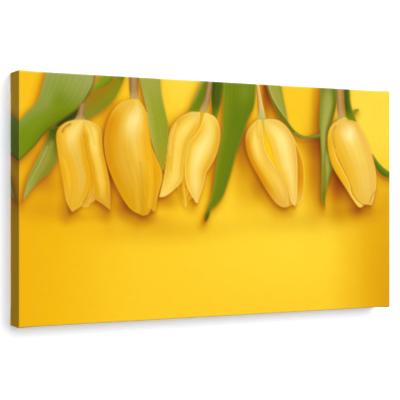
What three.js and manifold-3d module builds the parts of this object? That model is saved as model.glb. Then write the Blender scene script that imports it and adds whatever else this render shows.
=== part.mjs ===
// A gallery-wrapped canvas print: printed canvas pulled over a wooden stretcher frame, stapled on the back,
// tightened by wedges in the corners, and hung from a nail by a sawtooth hanger.
//
// Millimetres. +X runs to the right as seen from the front, +Z up, and the picture looks towards -Y.
// The origin is the point on the wall where the nail carries the middle notch of the hanger,
// so the wall is the plane y = 0 and everything else lies in front of it.

import * as THREE from 'three';
import { mergeVertices } from 'three/addons/utils/BufferGeometryUtils.js';
import Module from 'manifold-3d';

const wasm = await Module();
wasm.setup();

// ---- driving dimensions ----

const pictureWidth = 610;
const pictureHeight = 343;
const wrapDepth = 38;            // front of the picture to the back of the folded canvas
const hookDrop = 20;             // top edge of the picture above the nail

const canvasThickness = 0.5;
const flapWidth = 24;            // canvas folded onto the back of the bars
const fitGap = 0.3;              // clearance between pieces that fit or lie together
const endGap = 1;                // how far a cutting shape runs past what it cuts

const barWidth = 32;
const barEdgeRadius = 2;         // rounded outer front edge that the canvas turns over
const barLip = 5;                // raised edge, so that the canvas touches only the rim
const barBevelDrop = 3;          // how far the front of the bar falls away from the canvas
const barEasedEdge = 0.8;        // small chamfer on the other long edges

const tongueThickness = 6;
const tongueMargin = 6;          // wood left between a tongue and the outer edges
const uprightTongueDepth = 9;    // front of the bar to the tongue of an upright bar
const tongueWeb = 4;             // wood between that layer and the tongue of a top or bottom bar

const keyLength = 38;
const keyTip = 4;
const keyButt = 12;
const keySlack = 0.4;            // how much thinner a key is than the tongue beside it
const keyReach = 18;             // how far the key is driven into its slot
const keyCorner = 1.5;           // clipped corners of the butt

const wireWidth = 1.2;
const wireThickness = 0.6;
const stapleCrown = 12;
const stapleLeg = 8;
const staplePoint = 1;           // length of the chisel point
const stapleToFlapEdge = 10;     // staple row from the cut edge of the folded canvas
const stapleEndMargin = 35;      // last staple of a long row from the corner of the picture
const staplesPerHalfRow = 5;     // top and bottom, each side of the hanger
const staplesPerUpright = 5;
const cornerStapleAlong = 22;    // middle of a corner staple from the side of the picture
const cornerStapleIn = 12;       // and from its top or bottom

const hangerLength = 45;
const hangerHeight = 10;
const hangerThickness = 0.8;
const hangerFoot = 6;            // flat end with the nail hole
const hangerStep = 2.5;          // sloped stretch between foot and raised middle
const hangerCorner = 2.5;
const toothPitch = 2.8;
const toothDepth = 2;
const toothFlat = 0.4;           // flat tip between two notches
const notchCount = 9;
const hangerToStaple = 1.5;      // free space between the hanger and the next staple

const nailHeadRadius = 2.4;
const nailHeadHeight = 0.8;
const nailShankRadius = 0.8;
const nailLength = 12;
const nailPoint = 1.6;

const padRadius = 6;
const padThickness = 3;          // stands the picture off the wall, and sets the depth of the hanger
const padEdge = 0.6;
const padInset = 12;             // middle of a pad from the side of the picture
const padRise = 28;              // and from its lower edge
const padToStaple = 6;           // free space between a pad and the next staple

const arcSegments = 6;           // flats in a quarter turn
const wireSegments = 2;          // flats in the bend of a staple
const turnSegments = 20;         // flats round a small turned piece

// ---- what follows from them ----

const backOfCanvas = -padThickness;
const frontOfCanvas = backOfCanvas - wrapDepth;
const middleOfPicture = hookDrop - pictureHeight / 2;

const canvasToBar = canvasThickness + fitGap;
const barDepth = wrapDepth - 2 * canvasToBar;
const frontOfBar = frontOfCanvas + canvasToBar;
const crossBarLength = pictureWidth - 2 * canvasToBar;
const uprightBarLength = pictureHeight - 2 * canvasToBar;
const mitreSetback = fitGap / Math.SQRT2;
const crossTongueDepth = uprightTongueDepth + tongueThickness + tongueWeb;

const keyThickness = tongueThickness - keySlack;
const keyAtBarEdge = keyTip + (keyButt - keyTip) * keyReach / keyLength;
const slotEnd = barWidth + fitGap + keyAtBarEdge + fitGap;

const stapleInset = flapWidth - stapleToFlapEdge;

// ---- materials ----

const printedCanvas = new THREE.MeshStandardMaterial({ color: 0xf2b91f, roughness: 0.7, metalness: 0 });
const pine = new THREE.MeshStandardMaterial({ color: 0xdcb988, roughness: 0.65, metalness: 0 });
const beech = new THREE.MeshStandardMaterial({ color: 0xc99a6b, roughness: 0.6, metalness: 0 });
const stapleSteel = new THREE.MeshStandardMaterial({ color: 0xb9bcc0, roughness: 0.35, metalness: 1 });
const hangerSteel = new THREE.MeshStandardMaterial({ color: 0xc9a75a, roughness: 0.35, metalness: 1 });
const padRubber = new THREE.MeshStandardMaterial({ color: 0x3a3a3c, roughness: 0.8, metalness: 0 });

// ---- solids: three.js makes the shapes, manifold joins and cuts them ----

function toSolid(geometry) {
  const bare = geometry.clone();
  bare.deleteAttribute('normal');
  bare.deleteAttribute('uv');
  const merged = mergeVertices(bare);
  return new wasm.Manifold(new wasm.Mesh({
    numProp: 3,
    vertProperties: new Float32Array(merged.getAttribute('position').array),
    triVerts: new Uint32Array(merged.getIndex().array),
  }));
}

function toGeometry(solid) {
  const mesh = solid.getMesh();
  const geometry = new THREE.BufferGeometry();
  geometry.setAttribute('position', new THREE.BufferAttribute(mesh.vertProperties, 3));
  geometry.setIndex(new THREE.BufferAttribute(mesh.triVerts, 1));
  geometry.computeVertexNormals();
  return geometry;
}

function block(x0, x1, y0, y1, z0, z1) {
  const geometry = new THREE.BoxGeometry(x1 - x0, y1 - y0, z1 - z0);
  geometry.translate((x0 + x1) / 2, (y0 + y1) / 2, (z0 + z1) / 2);
  return geometry;
}

function prism(shape, length) {
  return new THREE.ExtrudeGeometry(shape, {
    depth: length, bevelEnabled: false, steps: 1, curveSegments: arcSegments,
  });
}

// An outline in x and z, given thickness from y0 to y1.
function plate(shape, y0, y1) {
  const geometry = prism(shape, y1 - y0);
  geometry.rotateX(Math.PI / 2);
  geometry.translate(0, y1, 0);
  return geometry;
}

function polygon(points) {
  return new THREE.Shape(points.map(([x, y]) => new THREE.Vector2(x, y)));
}

function cutAll(solid, cutters) {
  return cutters.reduce((rest, cutter) => rest.subtract(toSolid(cutter)), solid);
}

function placed(geometries, frame) {
  frame.updateMatrixWorld(true);
  return geometries.map((geometry) => geometry.clone().applyMatrix4(frame.matrixWorld));
}

function addPiece(parent, name, geometry, material) {
  const mesh = new THREE.Mesh(geometry, material);
  mesh.name = name;
  parent.add(mesh);
  return mesh;
}

// ---- canvas: one sheet turned over the front edges and folded onto the back ----

// A block whose long front edges are rounded, as the canvas turns over them.
function wrappedBlock(width, height, front, back, radius) {
  const section = (across) => {
    const shape = new THREE.Shape();
    shape.moveTo(across / 2, back);
    shape.lineTo(-across / 2, back);
    shape.absarc(-across / 2 + radius, front + radius, radius, Math.PI, 1.5 * Math.PI, false);
    shape.absarc(across / 2 - radius, front + radius, radius, -Math.PI / 2, 0, false);
    return shape;
  };
  const upright = prism(section(width), height);
  upright.translate(0, 0, middleOfPicture - height / 2);
  const across = prism(section(height), width);
  across.rotateY(Math.PI / 2);
  across.translate(-width / 2, 0, middleOfPicture);
  return toSolid(upright).intersect(toSolid(across));
}

function makeCanvas(holes) {
  const outerRadius = barEdgeRadius + canvasToBar;
  const outside = wrappedBlock(pictureWidth, pictureHeight, frontOfCanvas, backOfCanvas, outerRadius);
  const inside = wrappedBlock(
    pictureWidth - 2 * canvasThickness,
    pictureHeight - 2 * canvasThickness,
    frontOfCanvas + canvasThickness,
    backOfCanvas - canvasThickness,
    outerRadius - canvasThickness,
  );
  const openX = pictureWidth / 2 - flapWidth;
  const openZ = pictureHeight / 2 - flapWidth;
  const backOpening = block(
    -openX, openX,
    backOfCanvas - canvasThickness - endGap, backOfCanvas + endGap,
    middleOfPicture - openZ, middleOfPicture + openZ,
  );
  return cutAll(outside.subtract(inside), [backOpening, ...holes]);
}

// ---- stretcher bars ----
// Each bar is made lying along x with its outer edge at z = 0, its width towards -z and its front at y = 0.

function barProfile() {
  const shape = new THREE.Shape();
  shape.moveTo(barEasedEdge, barDepth);
  shape.lineTo(barWidth - barEasedEdge, barDepth);
  shape.lineTo(barWidth, barDepth - barEasedEdge);
  shape.lineTo(barWidth, barBevelDrop + barEasedEdge);
  shape.lineTo(barWidth - barEasedEdge, barBevelDrop);
  shape.lineTo(barLip, 0);
  shape.absarc(barEdgeRadius, barEdgeRadius, barEdgeRadius, -Math.PI / 2, -Math.PI, true);
  shape.lineTo(0, barDepth - barEasedEdge);
  return shape;
}

function mitredOutline(length) {
  const half = length / 2 - mitreSetback;
  return polygon([[-half, 0], [half, 0], [half - barWidth, -barWidth], [-half + barWidth, -barWidth]]);
}

// The tongue of this bar, at the end that `end` (1 or -1) names.
function tongue(length, end, depth) {
  const tip = end * (length / 2 - tongueMargin);
  const root = end * (length / 2 - barWidth - tongueMargin);
  return block(
    Math.min(tip, root), Math.max(tip, root),
    depth, depth + tongueThickness,
    -barWidth, -tongueMargin,
  );
}

// The slot that takes the neighbour's tongue, with the room beside it that the key is driven into.
function slot(length, end, depth) {
  const outer = end * (length / 2 - tongueMargin + fitGap);
  const inner = end * (length / 2 - slotEnd);
  return block(
    Math.min(outer, inner), Math.max(outer, inner),
    depth - fitGap, depth + tongueThickness + fitGap,
    -barWidth - endGap, -tongueMargin + fitGap,
  );
}

function makeBar(length, tongueDepth, slotDepth, holes) {
  const stick = prism(barProfile(), length);
  stick.rotateY(Math.PI / 2);
  stick.translate(-length / 2, 0, 0);
  const mitre = plate(mitredOutline(length), -endGap, barDepth + endGap);
  const ends = [-1, 1];
  const tongued = ends.reduce(
    (solid, end) => solid.add(toSolid(tongue(length, end, tongueDepth))),
    toSolid(stick).intersect(toSolid(mitre)),
  );
  return cutAll(tongued, [...ends.map((end) => slot(length, end, slotDepth)), ...holes]);
}

// ---- corner keys: wedges with one straight side, tip at the origin, butt towards +z ----

function makeKey() {
  const outline = polygon([
    [0, 0],
    [keyTip, 0],
    [keyButt, keyLength - keyCorner],
    [keyButt - keyCorner, keyLength],
    [keyCorner, keyLength],
    [0, keyLength - keyCorner],
  ]);
  return toSolid(plate(outline, -keyThickness / 2, keyThickness / 2));
}

// The straight side lies along the neighbouring bar, and the sloped side wedges against the slot's end.
function placeKey(mesh, length, end, slotDepth) {
  const slopeAxis = new THREE.Vector3(-end, 0, 0);
  const buttAxis = new THREE.Vector3(0, 0, -1);
  const thicknessAxis = new THREE.Vector3().crossVectors(buttAxis, slopeAxis);
  mesh.quaternion.setFromRotationMatrix(new THREE.Matrix4().makeBasis(slopeAxis, thicknessAxis, buttAxis));
  mesh.position.set(
    end * (length / 2 - barWidth - fitGap),
    slotDepth + tongueThickness / 2,
    -barWidth + keyReach,
  );
}

// ---- staples: crown along x on the plane y = 0, legs towards -y ----

function makeStaple() {
  const half = stapleCrown / 2;
  const inner = half - wireThickness;
  const shape = new THREE.Shape();
  shape.moveTo(inner, 0);
  shape.lineTo(-inner, 0);
  shape.lineTo(-inner, -stapleLeg + staplePoint);
  shape.lineTo(-half, -stapleLeg);
  shape.absarc(-half + wireThickness, 0, wireThickness, Math.PI, Math.PI / 2, true);
  shape.absarc(half - wireThickness, 0, wireThickness, Math.PI / 2, 0, true);
  shape.lineTo(half, -stapleLeg);
  shape.lineTo(inner, -stapleLeg + staplePoint);
  const geometry = new THREE.ExtrudeGeometry(shape, {
    depth: wireWidth, bevelEnabled: false, steps: 1, curveSegments: wireSegments,
  });
  geometry.translate(0, 0, -wireWidth / 2);
  return toSolid(geometry);
}

function stapleHoles() {
  const outer = stapleCrown / 2 + fitGap;
  const inner = stapleCrown / 2 - wireThickness - fitGap;
  const halfWidth = wireWidth / 2 + fitGap;
  return [[-outer, -inner], [inner, outer]].map(([x0, x1]) => (
    block(x0, x1, -stapleLeg - fitGap, endGap, -halfWidth, halfWidth)
  ));
}

// ---- sawtooth hanger, its feet on the folded canvas and its raised middle touching the wall ----

function hangerProfile() {
  const end = hangerLength / 2;
  const foot = end - hangerFoot;
  const raised = foot - hangerStep;
  const footFace = backOfCanvas + hangerThickness;
  const bend = hangerThickness * Math.tan(Math.atan2(-footFace, hangerStep) / 2);
  const half = [
    [raised, 0],
    [foot, footFace],
    [end, footFace],
    [end, backOfCanvas],
    [foot - bend, backOfCanvas],
    [raised - bend, -hangerThickness],
  ];
  const mirrored = half.map(([x, y]) => [-x, y]).reverse();
  return polygon([...half, ...mirrored]);
}

function roundedPlate(x0, x1, z0, z1, radius) {
  const shape = new THREE.Shape();
  shape.absarc(x1 - radius, z0 + radius, radius, -Math.PI / 2, 0, false);
  shape.absarc(x1 - radius, z1 - radius, radius, 0, Math.PI / 2, false);
  shape.absarc(x0 + radius, z1 - radius, radius, Math.PI / 2, Math.PI, false);
  shape.absarc(x0 + radius, z0 + radius, radius, Math.PI, 1.5 * Math.PI, false);
  return shape;
}

function hangerNotch(x) {
  const half = (toothPitch - toothFlat) / 2;
  const flare = half / toothDepth * endGap;
  const outline = polygon([
    [x, 0],
    [x - half - flare, -toothDepth - endGap],
    [x + half + flare, -toothDepth - endGap],
  ]);
  return plate(outline, backOfCanvas, endGap);
}

function nailHole(depth) {
  const radius = nailShankRadius + fitGap;
  const geometry = new THREE.CylinderGeometry(radius, radius, depth + endGap, turnSegments);
  geometry.translate(0, (endGap - depth) / 2, 0);
  return geometry;
}

function makeHanger(holes) {
  const strip = prism(hangerProfile(), hangerHeight);
  strip.translate(0, 0, -toothDepth);
  const outline = roundedPlate(
    -hangerLength / 2, hangerLength / 2, -toothDepth, hangerHeight - toothDepth, hangerCorner,
  );
  const rounded = toSolid(strip).intersect(toSolid(plate(outline, backOfCanvas - endGap, endGap)));
  const notches = Array.from({ length: notchCount }, (_, i) => (
    hangerNotch((i - (notchCount - 1) / 2) * toothPitch)
  ));
  return cutAll(rounded, [...notches, ...holes]);
}

// ---- small turned pieces, turned about y ----

function turned(points) {
  const profile = points.map(([radius, y]) => new THREE.Vector2(radius, y));
  return toSolid(new THREE.LatheGeometry(profile, turnSegments));
}

function makeNail() {
  return turned([
    [0, -nailLength],
    [nailShankRadius, -nailLength + nailPoint],
    [nailShankRadius, 0],
    [nailHeadRadius, 0],
    [nailHeadRadius, nailHeadHeight / 2],
    [nailShankRadius, nailHeadHeight],
    [0, nailHeadHeight],
  ]);
}

function makePad() {
  return turned([
    [0, 0],
    [padRadius, 0],
    [padRadius, padThickness - padEdge],
    [padRadius - padEdge, padThickness],
    [0, padThickness],
  ]);
}

// ---- assembly ----

const picture = new THREE.Group();

// One group for each side of the frame: it holds the bar, its keys and the staples driven into it.
function sideFrame(turn, x, z) {
  const frame = new THREE.Group();
  frame.rotation.y = turn;
  frame.position.set(x, frontOfBar, z);
  picture.add(frame);
  return frame;
}

const sides = [
  { name: 'top', turn: 0, x: 0, z: middleOfPicture + uprightBarLength / 2, cross: true },
  { name: 'right', turn: Math.PI / 2, x: crossBarLength / 2, z: middleOfPicture, cross: false },
  { name: 'bottom', turn: Math.PI, x: 0, z: middleOfPicture - uprightBarLength / 2, cross: true },
  { name: 'left', turn: -Math.PI / 2, x: -crossBarLength / 2, z: middleOfPicture, cross: false },
];

// Where the staples of one side go, in its own frame: x along the bar, -z inwards, and the turn of the crown.
// The corner staples lie along the mitre.
function staplePlaces(side) {
  const row = -(stapleInset - canvasToBar);
  const places = [];
  if (side.cross) {
    const first = hangerLength / 2 + hangerToStaple + stapleCrown / 2;
    const last = pictureWidth / 2 - stapleEndMargin;
    for (const half of [-1, 1]) {
      for (let i = 0; i < staplesPerHalfRow; i += 1) {
        const along = first + (last - first) * i / (staplesPerHalfRow - 1);
        places.push({ x: half * along, z: row, turn: 0 });
      }
      const corner = half * (pictureWidth / 2 - cornerStapleAlong);
      places.push({ x: corner, z: -(cornerStapleIn - canvasToBar), turn: -half * Math.PI / 4 });
    }
  } else {
    const last = pictureHeight / 2 - (padRise + padRadius + padToStaple + stapleCrown / 2);
    for (let i = 0; i < staplesPerUpright; i += 1) {
      places.push({ x: last * (2 * i / (staplesPerUpright - 1) - 1), z: row, turn: 0 });
    }
  }
  return places.sort((a, b) => a.x - b.x);
}

const canvasHoles = [];
const staple = makeStaple();
const key = makeKey();
const nailX = hangerLength / 2 - hangerFoot / 2;
const nailZ = hangerHeight / 2 - toothDepth;
const nailY = backOfCanvas + hangerThickness;

const nailFrames = [-nailX, nailX].map((x) => {
  const frame = new THREE.Group();
  frame.position.set(x, nailY, nailZ);
  picture.add(frame);
  return frame;
});
const nailHoles = nailFrames.flatMap((frame) => placed([nailHole(nailLength + fitGap)], frame));
canvasHoles.push(...nailHoles);

for (const side of sides) {
  const frame = sideFrame(side.turn, side.x, side.z);
  frame.updateMatrixWorld(true);
  const barHoles = [];

  staplePlaces(side).forEach((place, i) => {
    const mesh = addPiece(frame, `staple_${side.name}_${i + 1}`, toGeometry(staple), stapleSteel);
    mesh.position.set(place.x, barDepth + canvasToBar, place.z);
    mesh.rotation.y = place.turn;
    mesh.updateMatrixWorld(true);
    const holes = stapleHoles();
    canvasHoles.push(...placed(holes, mesh));
    barHoles.push(...holes.map((hole) => hole.clone().applyMatrix4(mesh.matrix)));
  });
  if (side.name === 'top') {
    const toBar = frame.matrixWorld.clone().invert();
    barHoles.push(...nailHoles.map((hole) => hole.clone().applyMatrix4(toBar)));
  }

  const length = side.cross ? crossBarLength : uprightBarLength;
  const tongueDepth = side.cross ? crossTongueDepth : uprightTongueDepth;
  const slotDepth = side.cross ? uprightTongueDepth : crossTongueDepth;
  const bar = makeBar(length, tongueDepth, slotDepth, barHoles);
  addPiece(frame, `stretcher_bar_${side.name}`, toGeometry(bar), pine);
  for (const end of [-1, 1]) {
    const mesh = addPiece(frame, `corner_key_${side.name}_${end < 0 ? 1 : 2}`, toGeometry(key), beech);
    placeKey(mesh, length, end, slotDepth);
  }
}

addPiece(picture, 'printed_canvas', toGeometry(makeCanvas(canvasHoles)), printedCanvas);
addPiece(picture, 'sawtooth_hanger', toGeometry(makeHanger(nailHoles)), hangerSteel);

['left', 'right'].forEach((name, i) => {
  addPiece(nailFrames[i], `hanger_nail_${name}`, toGeometry(makeNail()), hangerSteel);
  const pad = addPiece(picture, `wall_pad_${name}`, toGeometry(makePad()), padRubber);
  const fromMiddle = pictureWidth / 2 - padInset;
  pad.position.set(i === 0 ? -fromMiddle : fromMiddle, backOfCanvas, hookDrop - pictureHeight + padRise);
});

export default picture;
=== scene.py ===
import math

import bpy
import numpy as np
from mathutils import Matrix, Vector


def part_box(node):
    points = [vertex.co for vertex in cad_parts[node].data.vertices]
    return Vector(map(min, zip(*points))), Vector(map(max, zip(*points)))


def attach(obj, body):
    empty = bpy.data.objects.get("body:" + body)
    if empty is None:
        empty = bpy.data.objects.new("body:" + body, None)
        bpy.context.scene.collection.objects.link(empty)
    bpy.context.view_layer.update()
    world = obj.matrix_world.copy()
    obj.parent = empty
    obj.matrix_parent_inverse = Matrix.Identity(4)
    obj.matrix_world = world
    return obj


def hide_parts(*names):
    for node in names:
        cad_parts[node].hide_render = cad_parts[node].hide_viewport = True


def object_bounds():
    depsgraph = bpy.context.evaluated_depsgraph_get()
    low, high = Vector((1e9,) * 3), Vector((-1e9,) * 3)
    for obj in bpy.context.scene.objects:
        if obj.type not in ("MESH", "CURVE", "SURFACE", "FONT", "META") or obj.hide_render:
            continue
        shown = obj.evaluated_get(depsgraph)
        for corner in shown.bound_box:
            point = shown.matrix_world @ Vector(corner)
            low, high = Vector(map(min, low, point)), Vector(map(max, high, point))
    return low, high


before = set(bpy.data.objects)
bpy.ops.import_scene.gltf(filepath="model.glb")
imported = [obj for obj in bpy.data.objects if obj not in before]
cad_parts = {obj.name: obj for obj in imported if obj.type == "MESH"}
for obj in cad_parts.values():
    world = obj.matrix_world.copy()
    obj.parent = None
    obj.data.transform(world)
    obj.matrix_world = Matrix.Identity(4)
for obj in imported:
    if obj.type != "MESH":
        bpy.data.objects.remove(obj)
cadLow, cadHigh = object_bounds()
print("frame loaded:", len(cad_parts), "nodes")

mm = 0.001

# the viewer stands to the left of the picture, level with its middle, and looks to the right at it
cameraView = {
    "stand": (-0.718, -1.395, -0.1515),  # metres
    "turn": 26.78,  # degrees to the right of straight at the wall
    "lens": 94.2,
    "rise": -0.0023,  # share of the frame that the picture sits above the middle
}


def addObject(name, data):
    made = bpy.data.objects.new(name, data)
    bpy.context.scene.collection.objects.link(made)
    return made


def makeCamera(look):
    data = bpy.data.cameras.new("camera")
    data.lens = look["lens"]
    data.sensor_width = 36
    data.shift_y = look["rise"]
    data.clip_start = 0.05
    camera = addObject("camera", data)
    camera.location = look["stand"]
    camera.rotation_euler = (math.pi / 2, 0, -math.radians(look["turn"]))
    bpy.context.scene.camera = camera


makeCamera(cameraView)
bpy.context.scene.view_settings.view_transform = "Standard"


printLook = {
    "edgeSoft": 1.3,  # mm over which the edge of a painted shape fades
    "litHex": "#ffd232",  # a yellow in full light
    "shadowHex": "#a85600",  # what a full shadow leaves of that yellow
}


def hexToRgb(code):
    return np.array([int(code[i:i + 2], 16) / 255 for i in (1, 3, 5)])


def toLinear(values):
    values = np.asarray(values, float)
    return np.where(values <= 0.04045, values / 12.92, ((values + 0.055) / 1.055) ** 2.4)


def ramp(low, high, value):
    share = np.clip((value - low) / (high - low), 0, 1)
    return share * share * (3 - 2 * share)


def bump(centre, width, value):
    return np.exp(-((value - centre) / width) ** 2)


def mix(first, second, share):
    share = np.asarray(share, float)
    if share.ndim == 1:
        share = share[:, None]
    return first * (1 - share) + second * share


def smoothCurve(points, steps=7):
    # a Catmull-Rom curve through the given points
    points = np.array(points, float)
    ends = np.vstack([2 * points[0] - points[1], points, 2 * points[-1] - points[-2]])
    curve = []
    for a, b, c, d in zip(ends, ends[1:], ends[2:], ends[3:]):
        for t in np.arange(steps) / steps:
            bend = (2 * a - 5 * b + 4 * c - d) * t ** 2 + (3 * b - 3 * c + d - a) * t ** 3
            curve.append((2 * b + (c - a) * t + bend) / 2)
    curve.append(points[-1])
    return np.array(curve)


def distanceTo(curve, spots):
    nearest = np.full(len(spots), 1e9)
    for a, b in zip(curve, curve[1:]):
        run = b - a
        share = np.clip((spots - a) @ run / max(run @ run, 1e-9), 0, 1)
        off = spots - a - share[:, None] * run
        nearest = np.minimum(nearest, np.hypot(off[:, 0], off[:, 1]))
    return nearest


def isInside(outline, spots):
    inside = np.zeros(len(spots), bool)
    for a, b in zip(outline, np.roll(outline, -1, axis=0)):
        if a[1] == b[1]:
            continue
        crosses = (a[1] > spots[:, 1]) != (b[1] > spots[:, 1])
        reach = a[0] + (spots[:, 1] - a[1]) * (b[0] - a[0]) / (b[1] - a[1])
        inside ^= crosses & (spots[:, 0] < reach)
    return inside


def outlineOf(blade):
    left = smoothCurve(blade["left"])
    right = smoothCurve(blade["right"])
    return left, right, np.vstack([left, right[::-1]])


def depthIn(outline, spots):
    # mm inside the outline, negative outside
    closed = np.vstack([outline, outline[:1]])
    gap = distanceTo(closed, spots)
    return np.where(isInside(outline, spots), gap, -gap)


def near(outline, spots, margin):
    # the numbers of the spots in the outline's box, widened by the margin
    low, high = outline.min(0) - margin, outline.max(0) + margin
    return np.flatnonzero(np.all((spots > low) & (spots < high), axis=1))


def shadowTint(dark):
    return mix(np.ones(3), hexToRgb(printLook["shadowHex"]) / hexToRgb(printLook["litHex"]), dark)


def castShadow(colour, spots, blade, fall, soft, strength):
    # a soft patch shifted by fall, darkest under the blade and gone about two softs away
    outline = outlineOf(blade)[2] + np.array(fall)
    chosen = near(outline, spots, 2.2 * soft)
    depth = depthIn(outline, spots[chosen])
    colour[chosen] *= shadowTint(strength * ramp(-1.6 * soft, 0.9 * soft, depth))


def paintBlade(colour, spots, blade):
    # tones run from edge to edge and from base to tip, with veins, creases and a thin rim over them
    left, right, outline = outlineOf(blade)
    chosen = near(outline, spots, 3)
    here = spots[chosen]
    depth = depthIn(outline, here)
    toLeft = distanceTo(left, here)
    toRight = distanceTo(right, here)
    across = (toLeft - toRight) / (toLeft + toRight + 1e-6)  # -1 at the left edge, 1 at the right
    base = (left[0] + right[0]) / 2
    run = (left[-1] + right[-1]) / 2 - base
    along = np.clip((here - base) @ run / (run @ run), 0, 1)
    tone = np.tile(hexToRgb(blade["mid"]), (len(here), 1))
    tone = mix(tone, hexToRgb(blade["leftTone"]), ramp(-0.1, -1.0, across))
    tone = mix(tone, hexToRgb(blade["rightTone"]), ramp(0.1, 1.0, across))
    tone = mix(tone, hexToRgb(blade["baseTone"]), ramp(blade.get("baseTo", 0.2), 0, along))
    tone = mix(tone, hexToRgb(blade["tipTone"]), ramp(blade.get("tipFrom", 0.6), 1, along))
    for glow in blade.get("glows", []):
        spread = bump(glow["at"][0], glow["size"][0], along) * bump(glow["at"][1], glow["size"][1], across)
        tone = mix(tone, hexToRgb(glow["hex"]), glow["share"] * spread)
    # three sets of fine lines that drift slowly sideways, so that no two veins look alike
    wander = 2.2 * np.sin(3.1 * along + blade["left"][0][0])
    lines = blade["veins"] * across
    veins = np.sin(lines + wander) + 0.6 * np.sin(1.7 * lines - 2 * wander)
    veins += 0.5 * np.sin(3.1 * lines + 5 * along)
    tone = tone * (1 + blade["veinDepth"] * veins * ramp(0, 3, depth))[:, None]
    for crease in blade.get("creases", []):
        gap = distanceTo(smoothCurve(crease["line"]), here)
        tone = mix(tone, hexToRgb(crease["hex"]), crease["share"] * bump(0, crease["width"], gap))
    rim = blade.get("rim", 0)
    isLeft = toLeft < toRight
    edge = bump(1.1, 1.0, depth) * np.where(isLeft, blade.get("rimLeft", rim), blade.get("rimRight", rim))
    rimHex = blade.get("rimHex", "#ffeea0")
    rimTone = np.where(isLeft[:, None], hexToRgb(rimHex), hexToRgb(blade.get("rimRightHex", rimHex)))
    tone = mix(tone, rimTone, edge)
    cover = np.clip(depth / printLook["edgeSoft"] + 0.5, 0, 1)
    colour[chosen] = mix(colour[chosen], np.clip(tone, 0, 1), cover)


# the yellow paper that the flowers lie on, and the tones laid over it in turn. A spot is given by its centre
# and half width, across and down in mm; a slope by where the tone starts and where it is full.
paper = "#fcc92a"
paperTones = [
    {"hex": "#ffd638", "share": 1.0, "spot": ((430, 190), (240, 90))},
    {"hex": "#ffdb4a", "share": 0.8, "spot": ((240, 40), (0, 50))},
    {"hex": "#eeb214", "share": 0.95, "slope": ((190, -20), (60, 180))},
    {"hex": "#f9bf22", "share": 0.9, "slope": ((120, 0), (120, 20))},
    {"hex": "#ffdb4a", "share": 0.9, "slope": ((440, 540), (170, 60))},
    {"hex": "#eab01e", "share": 0.95, "slope": ((480, 580), (110, 200))},
    {"hex": "#dc9e10", "share": 1.0, "slope": ((540, 625), (100, 320))},
]

# a blade is a leaf, a petal or a stem: two edges from its base to its tip, given in mm, and its tones
leafTones = {
    "mid": "#7f8c1c", "leftTone": "#8f9a34", "rightTone": "#6c7a10", "baseTone": "#8d9434",
    "tipTone": "#75860f", "veins": 19, "veinDepth": 0.016, "rim": 0.25, "rimHex": "#a3aa4c",
}
stemTones = {
    "mid": "#b48c58", "leftTone": "#8d6434", "rightTone": "#9a7440", "baseTone": "#a58048",
    "tipTone": "#c3a45c", "veins": 6, "veinDepth": 0.02,
}
petalTones = {
    "mid": "#f7cb44", "leftTone": "#dc960c", "rightTone": "#e9a91e", "baseTone": "#f0c654",
    "tipTone": "#e6a822", "veins": 13, "veinDepth": 0.008, "rim": 0.25, "rimHex": "#fbdd78",
}

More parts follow.
